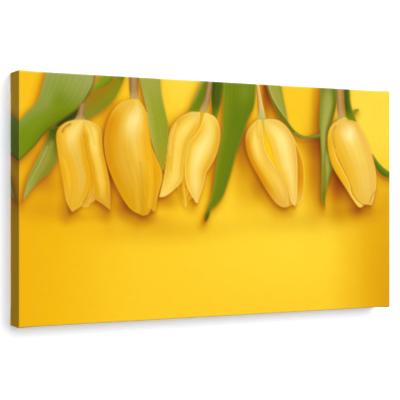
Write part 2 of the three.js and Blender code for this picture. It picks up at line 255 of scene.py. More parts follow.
backLeaves = [
    {
        **leafTones, "mid": "#94801a", "leftTone": "#a6781e", "rightTone": "#7c8c20", "baseTone": "#56681a",
        "tipTone": "#8c8a30", "rim": 0.1,
        "left": [(146, -8), (124, 15), (106, 22), (96, 36), (91, 52), (91, 66)],
        "right": [(156, -8), (146, 16), (136, 33), (124, 45), (110, 55), (94, 64)],
        "glows": [{"at": (0.4, 0.3), "size": (0.25, 0.5), "hex": "#8c9228", "share": 0.5}],
    },
    {
        **leafTones, "mid": "#85951c",
        "left": [(119, -8), (111, 10), (102, 24)],
        "right": [(146, -8), (130, 11), (114, 19), (102, 25)],
    },
    {
        **leafTones, "mid": "#3b4404", "leftTone": "#2e3a02", "rightTone": "#4c520c", "baseTone": "#45500c",
        "tipTone": "#3c4806", "rim": 0,
        "left": [(86, 44), (66, 58), (48, 75)],
        "right": [(86, 56), (70, 68), (50, 84)],
    },
    {
        **leafTones, "mid": "#908c2c", "leftTone": "#989840", "rightTone": "#8a8424", "baseTone": "#465610",
        "baseTo": 0.4, "tipTone": "#98a050",
        "left": [(42, 76), (37, 94), (23, 122), (12, 145), (6, 172)],
        "right": [(58, 72), (56, 98), (53, 120), (42, 136), (26, 149), (6, 173)],
        "creases": [{"line": [(40, 100), (30, 122), (17, 146), (7, 170)], "width": 1.3, "hex": "#bdbf70",
                     "share": 0.6},
                    {"line": [(46, 96), (36, 122), (22, 144), (10, 166)], "width": 4.0, "hex": "#a8a44c",
                     "share": 0.55}],
    },
    {
        **leafTones, "mid": "#7d8f20", "leftTone": "#8f9a46", "rightTone": "#6d7e0c", "baseTone": "#a0a658",
        "baseTo": 0.5, "tipTone": "#748c10", "veins": 27, "rimLeft": 0.2, "rimRight": 0.75,
        "rimRightHex": "#5c4c10",
        "left": [(46, -16), (38, 0), (26, 38), (12, 54), (0, 67), (-16, 82)],
        "right": [(112, -16), (109, 1), (106, 14), (96, 32), (86, 46), (60, 65), (40, 79), (20, 102),
                  (0, 121), (-16, 134)],
        "glows": [{"at": (0.42, -0.45), "size": (0.14, 0.4), "hex": "#969f4c", "share": 0.7},
                  {"at": (0.36, 0.1), "size": (0.08, 0.4), "hex": "#76881a", "share": 0.6}],
    },
    {
        **leafTones, "mid": "#6c7e14", "leftTone": "#8f9c40", "baseTone": "#55651a",
        "left": [(278, -10), (274, 0), (262, 24), (252, 46)],
        "right": [(290, -10), (283, 14), (272, 38), (266, 48)],
    },
    {
        **leafTones, "mid": "#4c5e06", "leftTone": "#3a4804", "rightTone": "#56680c", "baseTone": "#4c5c0a",
        "left": [(290, -10), (289, 26), (292, 56)],
        "right": [(310, -10), (306, 24), (298, 54)],
        "creases": [{"line": [(284, 30), (288, 40), (290, 54)], "width": 3.0, "hex": "#27300a",
                     "share": 0.8}],
    },
    {
        **leafTones, "mid": "#75701a", "leftTone": "#7c7412", "rightTone": "#74762a", "baseTone": "#7a6c20",
        "tipTone": "#6a6c1c", "rim": 0.1,
        "left": [(378, -10), (383, 8), (392, 28), (404, 50), (418, 62), (432, 75), (446, 79), (462, 79),
                 (480, 77)],
        "right": [(390, -10), (400, 20), (412, 44), (424, 60), (434, 69), (448, 75), (462, 74), (480, 69)],
        "creases": [{"line": [(432, 71), (446, 76.5), (462, 76), (480, 72)], "width": 1.5, "hex": "#9fa24c",
                     "share": 0.7}],
    },
    {
        **leafTones, "mid": "#a3a23c", "leftTone": "#b4a650", "rightTone": "#929a30", "baseTone": "#9aa038",
        "tipTone": "#9c983c", "rimLeft": 0.5, "rimHex": "#c2b87c",
        "left": [(380, -10), (390, 16), (400, 32), (410, 44), (419, 53)],
        "right": [(406, -10), (411, 16), (416, 36), (419, 52)],
    },
    {
        **leafTones, "mid": "#8f8c20", "leftTone": "#7c7c14", "rightTone": "#7c7c14", "tipTone": "#8c8c28",
        "left": [(536, 36), (543, 31), (550, 30)],
        "right": [(538, 40), (546, 35), (550, 31)],
    },
]

stems = [
    {**stemTones, "left": [(86, 42), (83, 52), (79, 64)], "right": [(94, 38), (92, 54), (95, 64)]},
    {**stemTones, "left": [(159, -10), (159, 12), (160, 32)], "right": [(173, -10), (173, 12), (174, 32)]},
    {**stemTones, "left": [(284, -10), (278, 20), (269, 47)], "right": [(292, -10), (288, 20), (281, 48)]},
    {
        **stemTones, "mid": "#e2c06c", "leftTone": "#a86c28", "rightTone": "#ecd084", "baseTone": "#e0be70",
        "tipTone": "#c0b868",
        "left": [(361, -10), (366, 18), (367, 54)], "right": [(367, -10), (373, 20), (382, 54)],
    },
    {
        **stemTones, "mid": "#bc9458", "leftTone": "#9a6a38", "rightTone": "#a0823c",
        "left": [(506, -10), (508, 25), (510, 50)], "right": [(520, -10), (521, 28), (526, 47)],
    },
]

# each flower is a list of petals, the hindmost first
tulips = [
    [
        {
            **petalTones, "mid": "#eaa81c", "leftTone": "#f0b41c", "rightTone": "#eaa410",
            "baseTone": "#f2b414",
            "tipTone": "#e2ac3c", "veinDepth": 0.03,
            "left": [(86, 66), (88, 86), (90, 116), (90, 150), (88, 172), (90, 182), (96, 183)],
            "right": [(97, 66), (98, 86), (106, 128), (112, 158), (109, 172), (100, 178), (101, 181)],
            "creases": [{"line": [(100, 150), (96, 168), (89, 181)], "width": 2.0, "hex": "#c98a10",
                         "share": 0.5}],
        },
        {
            **petalTones, "mid": "#f4bc2c", "leftTone": "#e2a018", "rightTone": "#eeb228",
            "tipTone": "#e8b034",
            "left": [(78, 63), (66, 67), (56, 75), (52, 86), (54, 106), (58, 128), (62, 150), (66, 172),
                     (73, 187)],
            "right": [(90, 63), (78, 70), (68, 80), (66, 94), (70, 110), (78, 124), (82, 142), (83, 164),
                      (77, 187)],
        },
        {
            **petalTones, "mid": "#f6c440", "leftTone": "#dc9608", "rightTone": "#e09a12",
            "tipTone": "#d89a22",
            "left": [(90, 63), (93, 84), (95, 100), (98, 112), (103, 128), (106, 146), (109, 160),
                     (109, 171), (119, 178), (130, 186)],
            "right": [(98, 63), (112, 69), (118, 77), (119, 92), (121, 108), (125, 124), (129, 142),
                      (131, 158), (131, 186)],
            "glows": [{"at": (0.24, 0.0), "size": (0.2, 0.5), "hex": "#fee17c", "share": 0.9},
                      {"at": (0.6, -0.1), "size": (0.25, 0.4), "hex": "#f5c654", "share": 0.8}],
            "creases": [{"line": [(96, 66), (103, 78), (108, 96)], "width": 1.6, "hex": "#e8b030",
                         "share": 0.5}],
        },
        {
            **petalTones, "mid": "#efbc3a", "leftTone": "#ecb02c", "rightTone": "#e2a010",
            "tipTone": "#e8ae28",
            "rimLeft": 0.1,
            "left": [(84, 63), (71, 68), (61, 77), (58, 90), (62, 108), (70, 122), (75, 140), (76, 158),
                     (73, 176), (74, 188)],
            "right": [(93, 63), (91, 80), (93, 100), (97, 118), (102, 140), (100, 154), (96, 166),
                      (90, 175), (88, 181), (75, 189)],
            "glows": [{"at": (0.16, 0.0), "size": (0.18, 0.6), "hex": "#fee07e", "share": 0.95},
                      {"at": (0.55, 0.1), "size": (0.3, 0.3), "hex": "#e4b654", "share": 0.8}],
            "creases": [{"line": [(72, 69), (64, 74), (61, 80)], "width": 1.5, "hex": "#a8540c",
                         "share": 0.75},
                        {"line": [(91, 66), (91, 80), (93, 98)], "width": 1.3, "hex": "#e8a818",
                         "share": 0.5}],
        },
    ],
    [
        {
            **petalTones, "mid": "#eaa814", "leftTone": "#d68c08", "rightTone": "#eeb020",
            "tipTone": "#e0a01c",
            "left": [(184, 48), (190, 90), (194, 140), (190, 176), (196, 189)],
            "right": [(189, 48), (193, 92), (201, 112), (210, 131), (210, 146), (204, 166), (200, 188)],
        },
        {
            **petalTones, "mid": "#e9b029", "leftTone": "#d99008", "rightTone": "#f0b01c",
            "baseTone": "#eebd42",
            "tipTone": "#dca01a", "tipFrom": 0.45, "veins": 21, "rim": 0.12,
            "left": [(164, 31), (147, 36), (131, 54), (122, 84), (125, 118), (140, 154), (160, 184),
                     (180, 195)],
            "right": [(174, 31), (184, 45), (188, 62), (191, 84), (194, 104), (197, 124), (198, 150),
                      (196, 178), (189, 192), (181, 195)],
            "glows": [{"at": (0.19, 0.2), "size": (0.15, 0.42), "hex": "#fee894", "share": 1.0},
                      {"at": (0.4, 0.35), "size": (0.25, 0.3), "hex": "#f9d468", "share": 0.55},
                      {"at": (0.55, -0.3), "size": (0.2, 0.35), "hex": "#e2ae3e", "share": 0.6}],
            "creases": [{"line": [(176, 120), (180, 152), (180, 194)], "width": 1.8, "hex": "#c9942c",
                         "share": 0.4},
                        {"line": [(164, 120), (170, 150), (173, 188)], "width": 3.0, "hex": "#eab840",
                         "share": 0.5},
                        {"line": [(190, 120), (193, 150), (190, 182)], "width": 3.0, "hex": "#f8c02c",
                         "share": 0.6}],
        },
    ],
    [
        {
            **petalTones, "mid": "#e2a420", "leftTone": "#d08c08", "rightTone": "#d6940e", "veinDepth": 0.04,
            "left": [(240, 134), (234, 154), (240, 172), (247, 184)],
            "right": [(268, 140), (265, 166), (257, 171), (252, 175), (248, 184)],
            "creases": [{"line": [(244, 146), (246, 164), (248, 182)], "width": 1.2, "hex": "#fada60",
                         "share": 0.7}],
        },
        {
            **petalTones, "mid": "#f2ba0a", "leftTone": "#ecac06", "rightTone": "#e4a004",
            "baseTone": "#e6b010",
            "veinDepth": 0.02, "rim": 0,
            "left": [(266, 45), (263, 60), (248, 92), (240, 128), (242, 152)],
            "right": [(280, 45), (278, 62), (258, 92), (252, 128), (249, 152)],
        },
        {
            **petalTones, "mid": "#f9cf50", "leftTone": "#f0b82c", "rightTone": "#e6a828",
            "baseTone": "#f6d05c", "tipTone": "#f2c24c",
            "rimLeft": 0.5, "rimRight": 0.35, "rimHex": "#fee490",
            "left": [(277, 47), (271, 66), (262, 78), (252, 90), (248, 104), (246, 122), (247, 142),
                     (252, 158), (264, 177)],
            "right": [(281, 46), (294, 51), (301, 61), (304, 76), (302, 92), (297, 108), (289, 122),
                      (281, 134), (277, 150), (267, 177)],
            "glows": [{"at": (0.42, -0.1), "size": (0.3, 0.45), "hex": "#fee88c", "share": 0.9},
                      {"at": (0.8, 0), "size": (0.15, 0.5), "hex": "#fcdc78", "share": 0.8}],
        },
        {
            **petalTones, "mid": "#f8cc4c", "leftTone": "#e8ae26", "rightTone": "#e8ac24",
            "tipTone": "#f7ce54",
            "rimHex": "#fee490", "rimRight": 0.35,
            "left": [(264, 45), (254, 46), (238, 54), (228, 64), (222, 76), (219, 92), (216, 120), (212, 144),
                     (206, 168)],
            "right": [(271, 46), (269, 60), (262, 74), (251, 91), (247, 108), (244, 128), (242, 145),
                      (228, 159), (216, 167), (207, 169)],
            "glows": [{"at": (0.25, 0.15), "size": (0.2, 0.5), "hex": "#fde070", "share": 0.7},
                      {"at": (0.72, 0.2), "size": (0.25, 0.45), "hex": "#fbd968", "share": 0.7}],
            "creases": [{"line": [(236, 60), (229, 80), (226, 108), (224, 130)], "width": 1.7,
                         "hex": "#e3a92c",
                         "share": 0.5},
                        {"line": [(232, 64), (225, 82), (222, 108)], "width": 1.6, "hex": "#fbdc78",
                         "share": 0.5}],
        },
    ],
    [
        {
            **petalTones, "mid": "#de9412", "leftTone": "#cf8608", "rightTone": "#eeb020",
            "tipTone": "#eeb838",
            "rimRight": 0.55, "rimHex": "#fedc60", "rimLeft": 0,
            "left": [(424, 70), (436, 110), (437, 150), (434, 181)],
            "right": [(430, 78), (440, 96), (447, 112), (450, 130), (450, 150), (447, 170), (441, 179)],
        },
        {
            **petalTones, "mid": "#fecc22", "leftTone": "#fabc14", "rightTone": "#fac420",
            "baseTone": "#f0b818",
            "rim": 0,
            "left": [(370, 54), (374, 78), (378, 104), (400, 134), (415, 160), (420, 183)],
            "right": [(380, 53), (394, 84), (406, 112), (418, 140), (426, 162), (427, 181)],
        },
        {
            **petalTones, "mid": "#f4c03a", "leftTone": "#d6880a", "rightTone": "#f0be40",
            "tipTone": "#e8b040",
            "rimHex": "#fee48c", "rimRight": 0.5, "rimLeft": 0.1,
            "left": [(366, 53), (356, 61), (348, 73), (346, 86), (349, 102), (356, 118), (368, 137),
                     (380, 155), (396, 175), (408, 183), (418, 184)],
            "right": [(373, 53), (376, 70), (378, 86), (382, 100), (389, 112), (400, 125), (410, 138),
                      (418, 154), (421, 170), (421, 181)],
            "glows": [{"at": (0.24, 0.1), "size": (0.2, 0.4), "hex": "#fee27a", "share": 0.8},
                      {"at": (0.72, 0.35), "size": (0.22, 0.35), "hex": "#f8ce60", "share": 0.7}],
            "creases": [{"line": [(366, 57), (365, 68), (368, 80)], "width": 2.0, "hex": "#eeb828",
                         "share": 0.6}],
        },
        {
            **petalTones, "mid": "#fbd25a", "leftTone": "#f6c238", "rightTone": "#eeb84a",
            "tipTone": "#f4c45c",
            "rimHex": "#fde894", "rimLeft": 0.15, "rimRight": 0.3,
            "left": [(376, 54), (380, 70), (388, 86), (396, 108), (402, 125), (411, 138), (419, 154),
                     (423, 170), (427, 179)],
            "right": [(384, 51), (400, 52), (411, 57), (421, 66), (430, 80), (435, 100), (437, 120),
                      (437, 148), (436, 170), (433, 182)],
            "glows": [{"at": (0.28, 0.0), "size": (0.2, 0.5), "hex": "#feea8a", "share": 0.85},
                      {"at": (0.55, 0.0), "size": (0.3, 0.4), "hex": "#fde48e", "share": 0.7}],
            "creases": [{"line": [(375, 55), (378, 68), (384, 82)], "width": 1.4, "hex": "#b98a14",
                         "share": 0.6}],
        },
    ],
    [
        {
            **petalTones, "mid": "#eaa61c", "leftTone": "#e8a820", "rightTone": "#e8a820",
            "baseTone": "#e49c14",
            "rim": 0,
            "left": [(508, 52), (499, 66), (499, 88), (508, 116), (524, 144), (540, 172), (554, 183)],
            "right": [(518, 50), (510, 66), (510, 88), (522, 112), (540, 142), (552, 168), (563, 180)],
        },
        {
            **petalTones, "mid": "#efb622", "leftTone": "#e09c10", "rightTone": "#f4bc30",
            "tipTone": "#fbc84c",
            "rimRight": 0.6, "rimHex": "#fee694", "rimLeft": 0.2,
            "left": [(510, 49), (498, 58), (492, 70), (491, 84), (494, 104), (501, 122), (512, 138),
                     (526, 156), (538, 172), (548, 183), (554, 185)],
            "right": [(516, 47), (504, 62), (502, 84), (509, 108), (522, 130), (532, 147), (536, 162),
                      (546, 174), (558, 182)],
        },
        {
            **petalTones, "mid": "#f3c64a", "leftTone": "#ecb42c", "rightTone": "#efba4c",
            "baseTone": "#ecbe52",
            "tipTone": "#ecba48", "rimHex": "#fde894", "rimLeft": 0.1, "rimRight": 0.3, "veins": 17,
            "left": [(514, 47), (503, 59), (500, 74), (502, 88), (510, 104), (523, 126), (534, 147),
                     (541, 164), (552, 176), (562, 180)],
            "right": [(522, 44), (536, 46), (546, 51), (554, 62), (562, 74), (568, 86), (574, 102),
                      (580, 118), (583, 134), (583, 150), (580, 164), (574, 181)],
            "glows": [{"at": (0.21, 0.15), "size": (0.11, 0.35), "hex": "#fff0aa", "share": 1.0},
                      {"at": (0.42, 0.25), "size": (0.2, 0.4), "hex": "#fbd868", "share": 0.7},
                      {"at": (0.75, 0.2), "size": (0.2, 0.4), "hex": "#f3c862", "share": 0.6}],
            "creases": [{"line": [(506, 58), (501, 68), (502, 82), (505, 92)], "width": 1.3, "hex": "#c47a14",
                         "share": 0.7},
                        {"line": [(580, 160), (573, 170), (571, 178)], "width": 1.2, "hex": "#c48c2c",
                         "share": 0.8},
                        {"line": [(581, 164), (576, 172), (574, 180)], "width": 1.0, "hex": "#fbe49c",
                         "share": 0.6}],
        },
    ],
]

frontLeaves = [
    {
        **leafTones, "mid": "#9a9f2e", "leftTone": "#b0ac48", "rightTone": "#949a28", "baseTone": "#a4a64a",
        "baseTo": 0.5, "tipTone": "#a89a24",
        "left": [(172, -10), (180, 22), (187, 52), (192, 84), (200, 108), (211, 131)],
        "right": [(206, -10), (209, 22), (216, 52), (220, 70), (219, 94), (216, 118), (212, 132)],
    },
    {
        **leafTones, "mid": "#6d7e12", "leftTone": "#7a8a1c", "rightTone": "#647a14", "baseTone": "#76861c",
        "tipTone": "#4e4a06", "tipFrom": 0.9, "veins": 25,
        "left": [(310, -12), (308, 40), (306, 80), (301, 100), (297, 124), (290, 165), (283, 184),
                 (279, 194), (278, 203)],
        "right": [(364, -12), (361, 30), (350, 54), (340, 80), (330, 106), (320, 138), (309, 166), (298, 180),
                  (289, 187), (286, 196), (281, 204)],
        "glows": [{"at": (0.1, 0.3), "size": (0.1, 0.4), "hex": "#7f9230", "share": 0.6},
                  {"at": (0.3, 0.1), "size": (0.1, 0.4), "hex": "#5f7a14", "share": 0.5}],
    },
    {
        **leafTones, "mid": "#aeaa4e", "leftTone": "#7c8e2c", "rightTone": "#5c6410", "baseTone": "#6e7c20",
        "tipTone": "#7c7812",
        "left": [(479, -12), (478, 20), (476, 50), (478, 80), (480, 110), (480, 140), (479, 166), (482, 177),
                 (486, 183)],
        "right": [(506, -12), (507, 24), (500, 50), (491, 70), (491, 92), (497, 114), (500, 124), (497, 136),
                  (490, 155), (487, 170), (487, 183)],
        "glows": [{"at": (0.16, -0.15), "size": (0.1, 0.4), "hex": "#a4a250", "share": 0.8},
                  {"at": (0.6, 0.3), "size": (0.2, 0.4), "hex": "#a09440", "share": 0.5}],
        "creases": [{"line": [(488, 84), (486, 110), (487, 140), (485, 172)], "width": 1.5, "hex": "#5e6a14",
                     "share": 0.5},
                    {"line": [(492, 104), (492, 130), (489, 156)], "width": 2.4, "hex": "#b4ac4c",
                     "share": 0.4}],
    },
    {
        **leafTones, "mid": "#4e6208", "leftTone": "#33440a", "rightTone": "#7c8c28", "baseTone": "#52650c",
        "left": [(521, -10), (523, 26), (528, 47)],
        "right": [(532, -10), (534, 20), (540, 38), (545, 50)],
    },
    {
        **leafTones, "mid": "#5c7a14", "leftTone": "#3c5406", "rightTone": "#76882c",
        "left": [(576, 101), (583, 122), (594, 133), (609, 138), (624, 141)],
        "right": [(577, 101), (586, 112), (598, 122), (609, 128), (624, 133)],
    },
]

# shadows of a leaf, of a flower, of either close by, and of one petal on another: how far they fall, how soft
# and how strong they are
falls = {
    "leaf": ((-5, 8), 9, 0.35),
    "head": ((-8, 8), 11, 0.45),
    "near": ((-2.5, 3.5), 4, 0.4),
    "petal": ((-1, 1.4), 3, 0.13),
}

# soft shade that the flowers throw on each other and on the ground: centre, half size, share
shades = [
    ((40, 186), (44, 16), 0.2), ((210, 216), (100, 16), 0.2), ((420, 206), (64, 16), 0.16),
    ((530, 198), (50, 14), 0.25), ((128, 140), (9, 46), 0.6), ((40, 150), (22, 20), 0.35),
    ((70, 150), (10, 26), 0.35), ((100, 197), (40, 8), 0.15), ((152, 184), (18, 14), 0.45),
    ((190, 201), (34, 10), 0.2), ((222, 176), (18, 12), 0.35), ((292, 140), (9, 32), 0.3),
    ((338, 100), (14, 60), 0.45), ((364, 158), (20, 26), 0.35), ((466, 94), (24, 14), 0.35),
    ((468, 126), (18, 60), 0.6), ((508, 150), (18, 40), 0.85), ((546, 190), (34, 8), 0.2),
    ((470, 36), (10, 62), 0.4), ((380, 24), (10, 40), 0.7), ((600, 166), (24, 24), 0.1),
    ((30, 116), (40, 18), 0.15),
]


def shadePatch(colour, spots, centre, size, share):
    reach = np.hypot((spots[:, 0] - centre[0]) / size[0], (spots[:, 1] - centre[1]) / size[1])
    colour *= shadowTint(share * np.exp(-reach ** 2))


def paintPicture(spots):
    # colours are worked out as sRGB, the layers from the back to the front
    s, t = spots[:, 0], spots[:, 1]
    colour = np.tile(hexToRgb(paper), (len(spots), 1))
    for tone in paperTones:
        across, down = tone.get("spot") or tone["slope"]
        reach = bump(*across, s) * bump(*down, t) if "spot" in tone else ramp(*across, s) * ramp(*down, t)
        colour = mix(colour, hexToRgb(tone["hex"]), tone["share"] * reach)
    for centre, size, share in shades:
        shadePatch(colour, spots, centre, size, share)
    for blade in backLeaves + frontLeaves:
        castShadow(colour, spots, blade, *falls["leaf"])
        castShadow(colour, spots, blade, *falls["near"])
    for petals in tulips:
        for blade in petals[-2:]:
            castShadow(colour, spots, blade, *falls["head"])
            castShadow(colour, spots, blade, *falls["near"])
    for blade in backLeaves:
        paintBlade(colour, spots, blade)
    for blade in stems + [petal for petals in tulips for petal in petals] + frontLeaves:
        castShadow(colour, spots, blade, *falls["petal"])
        paintBlade(colour, spots, blade)
    return np.clip(colour, 0, 1)


def setNode(tree, node, settings=None, links=None):
    # a setting is one of the node's own properties or the number or name of an input
    for key, value in (settings or {}).items():
        if key == "stops":
            for spare in list(node.color_ramp.elements)[1:]:
                node.color_ramp.elements.remove(spare)
            for index, (place, code) in enumerate(value):
                stop = node.color_ramp.elements[0] if index == 0 else node.color_ramp.elements.new(place)
                stop.position = place
                stop.color = linearColour(code)
        elif isinstance(key, str) and hasattr(node, key):
            setattr(node, key, value)
        else:
            node.inputs[key].default_value = value
    for key, output in (links or {}).items():
        tree.links.new(output, node.inputs[key])
    return node


def addNode(tree, kind, settings=None, links=None):
    return setNode(tree, tree.nodes.new("ShaderNode" + kind), settings, links)


def linearColour(code):
    return (*toLinear(hexToRgb(code)), 1)


def startMaterial(name):
    material = bpy.data.materials.new(name)
    material.use_nodes = True
    return material, material.node_tree, material.node_tree.nodes["Principled BSDF"]


# woven polycotton canvas: real threads lie 0.5 mm apart, and are drawn twice as coarse so that they show
weave = {
    "repeat": 2.1,  # mm, two threads
    "depth": 0.06,  # mm
    "slubSize": 16,  # mm, the uneven thickness of the yarn
    "printGloss": (0.66, 0.8),  # roughness of the varnish, from its smoother to its drier patches
}


def weaveHeight(tree):
    # crossing threads: a sine across each, and the product of both is the over and under of a plain weave
    sheetMap = addNode(tree, "UVMap", {"uv_map": "sheet"})
    turns = 2 * math.pi / (weave["repeat"] * mm)
    phase = addNode(tree, "VectorMath", {"operation": "SCALE", "Scale": turns}, {0: sheetMap.outputs[0]})
    apart = addNode(tree, "SeparateXYZ", {}, {0: phase.outputs[0]})
    warp = addNode(tree, "Math", {"operation": "SINE"}, {0: apart.outputs["X"]})
    weft = addNode(tree, "Math", {"operation": "SINE"}, {0: apart.outputs["Y"]})
    height = addNode(tree, "Math", {"operation": "MULTIPLY"}, {0: warp.outputs[0], 1: weft.outputs[0]})
    return height, sheetMap


# polycotton canvas, inkjet printed and matt varnished: it has little gloss and shows the weave
def makePrintedCanvas():
    material, tree, shader = startMaterial("printed polycotton canvas")
    ink = addNode(tree, "Attribute", {"attribute_name": "print"})
    threads, sheetMap = weaveHeight(tree)
    slubs = addNode(tree, "TexNoise", {"Scale": 1 / (weave["slubSize"] * mm), "Detail": 5, "Roughness": 0.6},
                    {"Vector": sheetMap.outputs[0]})
    blotch = addNode(tree, "MapRange", {3: 0.965, 4: 1.035}, {0: slubs.outputs[0]})
    thin = addNode(tree, "MapRange", {1: -1.0, 3: 0.975, 4: 1.02}, {0: threads.outputs[0]})
    share = addNode(tree, "Math", {"operation": "MULTIPLY"}, {0: blotch.outputs[0], 1: thin.outputs[0]})
    colour = addNode(tree, "VectorMath", {"operation": "SCALE"},
                     {0: ink.outputs["Color"], "Scale": share.outputs[0]})
    gloss = addNode(tree, "MapRange", {3: weave["printGloss"][0], 4: weave["printGloss"][1]},
                    {0: slubs.outputs[0]})
    relief = addNode(tree, "Bump", {"Strength": 0.7, "Distance": weave["depth"] * mm},
                     {"Height": threads.outputs[0]})
    setNode(tree, shader, {"IOR": 1.45, "Specular IOR Level": 0.08},
            {"Base Color": colour.outputs[0], "Roughness": gloss.outputs[0], "Normal": relief.outputs[0]})
    return material


# the same canvas from behind: unprimed threads, off-white with darker slubs and seed flecks, and no gloss
def makeRawCanvas():
    material, tree, shader = startMaterial("raw polycotton canvas")
    threads, sheetMap = weaveHeight(tree)
    stretched = addNode(tree, "Mapping", {"Scale": (60, 700, 1)}, {0: sheetMap.outputs[0]})
    slubs = addNode(tree, "TexNoise", {"Scale": 1.0, "Detail": 4}, {"Vector": stretched.outputs[0]})
    crossed = addNode(tree, "Mapping", {"Scale": (700, 60, 1)}, {0: sheetMap.outputs[0]})
    crossSlubs = addNode(tree, "TexNoise", {"Scale": 1.0, "Detail": 4}, {"Vector": crossed.outputs[0]})
    both = addNode(tree, "Math", {"operation": "ADD"}, {0: slubs.outputs[0], 1: crossSlubs.outputs[0]})
    weft = addNode(tree, "MapRange", {1: -1.0, 3: -0.16, 4: 0.12}, {0: threads.outputs[0]})
    total = addNode(tree, "Math", {"operation": "ADD"}, {0: both.outputs[0], 1: weft.outputs[0]})
    colour = addNode(tree, "ValToRGB", {"stops": [(0.62, "#c9bda3"), (0.86, "#ddd4c0"), (0.99, "#ebe5d6")]},
                     {0: total.outputs[0]})
    rise = addNode(tree, "Math", {"operation": "MULTIPLY_ADD", 1: 0.5},
                   {0: threads.outputs[0], 2: both.outputs[0]})
    relief = addNode(tree, "Bump", {"Strength": 0.8, "Distance": 2 * weave["depth"] * mm},
                     {"Height": rise.outputs[0]})
    setNode(tree, shader, {"Roughness": 0.92, "IOR": 1.5, "Specular IOR Level": 0.2},
            {"Base Color": colour.outputs[0], "Normal": relief.outputs[0]})
    return material


# planed pine, finger-jointed: pale early wood, narrow orange late wood 2.6 mm apart, and small knots
pineLook = {
    "ringStep": 2.6,  # mm
    "ringTilt": 0.45,  # the rings cross the bar's section at a slant
    "waviness": 7.0,  # rings that the widest bends in the grain cross
    "knotStep": 95,  # mm from knot to knot, about
    "jointStep": 310,  # mm from one finger joint to the next
    "jointTooth": 4,  # half the pitch of the finger joint
    "toothSlope": 2.5,  # mm along the bar for each mm across
    "seamWide": 0.9,  # the glue line, a little wider than real so that it shows
    "seam": "#8a5f35",
    "early": "#ecd2a2",
    "late": "#c8935a",
    "knot": "#6e4426",
}


